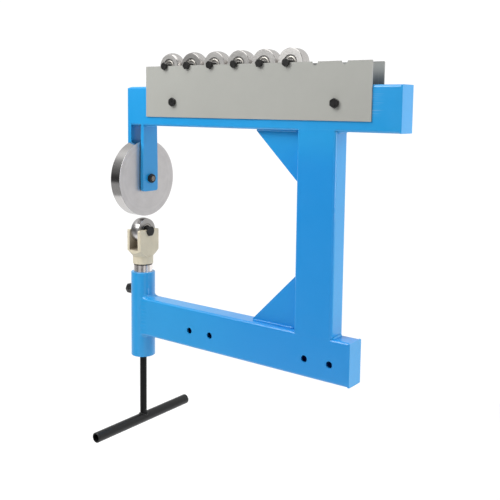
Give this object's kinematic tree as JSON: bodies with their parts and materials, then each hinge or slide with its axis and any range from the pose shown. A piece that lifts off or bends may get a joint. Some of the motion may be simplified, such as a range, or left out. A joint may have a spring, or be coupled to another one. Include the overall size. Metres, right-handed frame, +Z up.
{
  "type": "english wheel",
  "caption": "Welded C-frame english wheel: fork-mounted upper wheel, crowned anvil in a yoke on a screw-driven ram, T-handle below and a rack of spare anvils on top.",
  "frame": {"origin": "middle of the rear pair of mounting holes in the lower beam, on the frame's mid-plane", "axes": "+X from the wheels back along the beams, +Y to the far side along the mounting holes, +Z up"},
  "size_m": [0.8094, 0.343, 0.9963],
  "materials": {
    "blue_paint": "glossy blue powder coat",
    "grey_paint": "satin warm grey coat on sheet steel",
    "wheel_steel": "fine-turned steel, satin",
    "anvil_steel": "polished hardened steel",
    "bearing_steel": "ground bearing rings with dark seals",
    "ram_steel": "ground and polished shaft",
    "cream_casting": "cast, thin cream coat",
    "black_steel": "black oxide",
    "bronze": "turned bronze"
  },
  "bodies": {
    "frame": {"top_beam": "blue_paint", "top_beam_cap": "blue_paint", "column": "blue_paint", "lower_beam": "blue_paint", "lower_beam_cap": "blue_paint", "upper_gusset": "blue_paint", "lower_gusset": "blue_paint", "front_fork_plate": "blue_paint", "rear_fork_plate": "blue_paint", "guide_tube": "blue_paint", "tube_plug": "blue_paint", "thrust_bearing": "bearing_steel", "lock_nut": "black_steel", "upper_axle": "black_steel", "upper_axle_nut": "black_steel", "upper_axle_spacers": "bearing_steel", "rack_near_plate": "grey_paint", "rack_far_plate": "grey_paint", "rack_bolts": "black_steel", "rack_nuts": "black_steel", "rack_washers": "bearing_steel"},
    "upper_wheel": {"upper_wheel": "wheel_steel", "upper_wheel_bearings": "bearing_steel"},
    "ram": {"ram": "ram_steel", "ram_nut": "bronze", "yoke": "cream_casting", "working_axle": "black_steel", "working_axle_nut": "black_steel"},
    "working_anvil": {"working_anvil": "anvil_steel", "working_anvil_bearings": "bearing_steel"},
    "handle": {"adjusting_screw": "black_steel", "handle_bar": "black_steel"},
    "lock_bolt": {"lock_bolt": "black_steel"},
    "spare_axle_1": {"spare_axle_1": "black_steel", "spare_nut_1": "black_steel"},
    "spare_anvil_1": {"spare_anvil_1": "anvil_steel", "spare_bearings_1": "bearing_steel"},
    "spare_axle_2": {"spare_axle_2": "black_steel", "spare_nut_2": "black_steel"},
    "spare_anvil_2": {"spare_anvil_2": "anvil_steel", "spare_bearings_2": "bearing_steel"},
    "spare_axle_3": {"spare_axle_3": "black_steel", "spare_nut_3": "black_steel"},
    "spare_anvil_3": {"spare_anvil_3": "anvil_steel", "spare_bearings_3": "bearing_steel"},
    "spare_axle_4": {"spare_axle_4": "black_steel", "spare_nut_4": "black_steel"},
    "spare_anvil_4": {"spare_anvil_4": "anvil_steel", "spare_bearings_4": "bearing_steel"},
    "spare_axle_5": {"spare_axle_5": "black_steel", "spare_nut_5": "black_steel"},
    "spare_anvil_5": {"spare_anvil_5": "anvil_steel", "spare_bearings_5": "bearing_steel"},
    "spare_axle_6": {"spare_axle_6": "black_steel", "spare_nut_6": "black_steel"},
    "spare_anvil_6": {"spare_anvil_6": "anvil_steel", "spare_bearings_6": "bearing_steel"}
  },
  "joints": [
    {"name": "wheel_spin", "type": "hinge", "parent": "frame", "child": "upper_wheel", "pos_m": [-0.566, 0, 0.3765], "axis": [1, 0, 0], "continuous": true},
    {"name": "handle_spin", "type": "hinge", "parent": "frame", "child": "handle", "pos_m": [-0.566, 0, -0.284], "axis": [0, 0, 1], "range_deg": [-585, 1800]},
    {"name": "ram_slide", "type": "slide", "parent": "frame", "child": "ram", "axis": [0, 0, 1], "range_m": [-0.02, 0.0065]},
    {"name": "working_anvil_spin", "type": "hinge", "parent": "ram", "child": "working_anvil", "pos_m": [-0.566, 0, 0.2355], "axis": [1, 0, 0], "continuous": true},
    {"name": "lock_bolt_turn", "type": "hinge", "parent": "frame", "child": "lock_bolt", "pos_m": [-0.6094, 0, 0.0705], "axis": [-1, 0, 0], "range_deg": [0, 360]},
    {"name": "spare_lift_1", "type": "slide", "parent": "frame", "child": "spare_axle_1", "axis": [0, 0, 1], "range_m": [0, 0.1]},
    {"name": "spare_spin_1", "type": "hinge", "parent": "spare_axle_1", "child": "spare_anvil_1", "pos_m": [-0.45975, 0, 0.665], "axis": [0, 1, 0], "continuous": true},
    {"name": "spare_lift_2", "type": "slide", "parent": "frame", "child": "spare_axle_2", "axis": [0, 0, 1], "range_m": [0, 0.1]},
    {"name": "spare_spin_2", "type": "hinge", "parent": "spare_axle_2", "child": "spare_anvil_2", "pos_m": [-0.38625, 0, 0.665], "axis": [0, 1, 0], "continuous": true},
    {"name": "spare_lift_3", "type": "slide", "parent": "frame", "child": "spare_axle_3", "axis": [0, 0, 1], "range_m": [0, 0.1]},
    {"name": "spare_spin_3", "type": "hinge", "parent": "spare_axle_3", "child": "spare_anvil_3", "pos_m": [-0.31275, 0, 0.665], "axis": [0, 1, 0], "continuous": true},
    {"name": "spare_lift_4", "type": "slide", "parent": "frame", "child": "spare_axle_4", "axis": [0, 0, 1], "range_m": [0, 0.1]},
    {"name": "spare_spin_4", "type": "hinge", "parent": "spare_axle_4", "child": "spare_anvil_4", "pos_m": [-0.23925, 0, 0.665], "axis": [0, 1, 0], "continuous": true},
    {"name": "spare_lift_5", "type": "slide", "parent": "frame", "child": "spare_axle_5", "axis": [0, 0, 1], "range_m": [0, 0.1]},
    {"name": "spare_spin_5", "type": "hinge", "parent": "spare_axle_5", "child": "spare_anvil_5", "pos_m": [-0.16575, 0, 0.665], "axis": [0, 1, 0], "continuous": true},
    {"name": "spare_lift_6", "type": "slide", "parent": "frame", "child": "spare_axle_6", "axis": [0, 0, 1], "range_m": [0, 0.1]},
    {"name": "spare_spin_6", "type": "hinge", "parent": "spare_axle_6", "child": "spare_anvil_6", "pos_m": [-0.09225, 0, 0.665], "axis": [0, 1, 0], "continuous": true}
  ],
  "couplings": [
    {"joint": "handle_spin", "follows": "ram_slide", "rad_per_m": -1570.8}
  ]
}
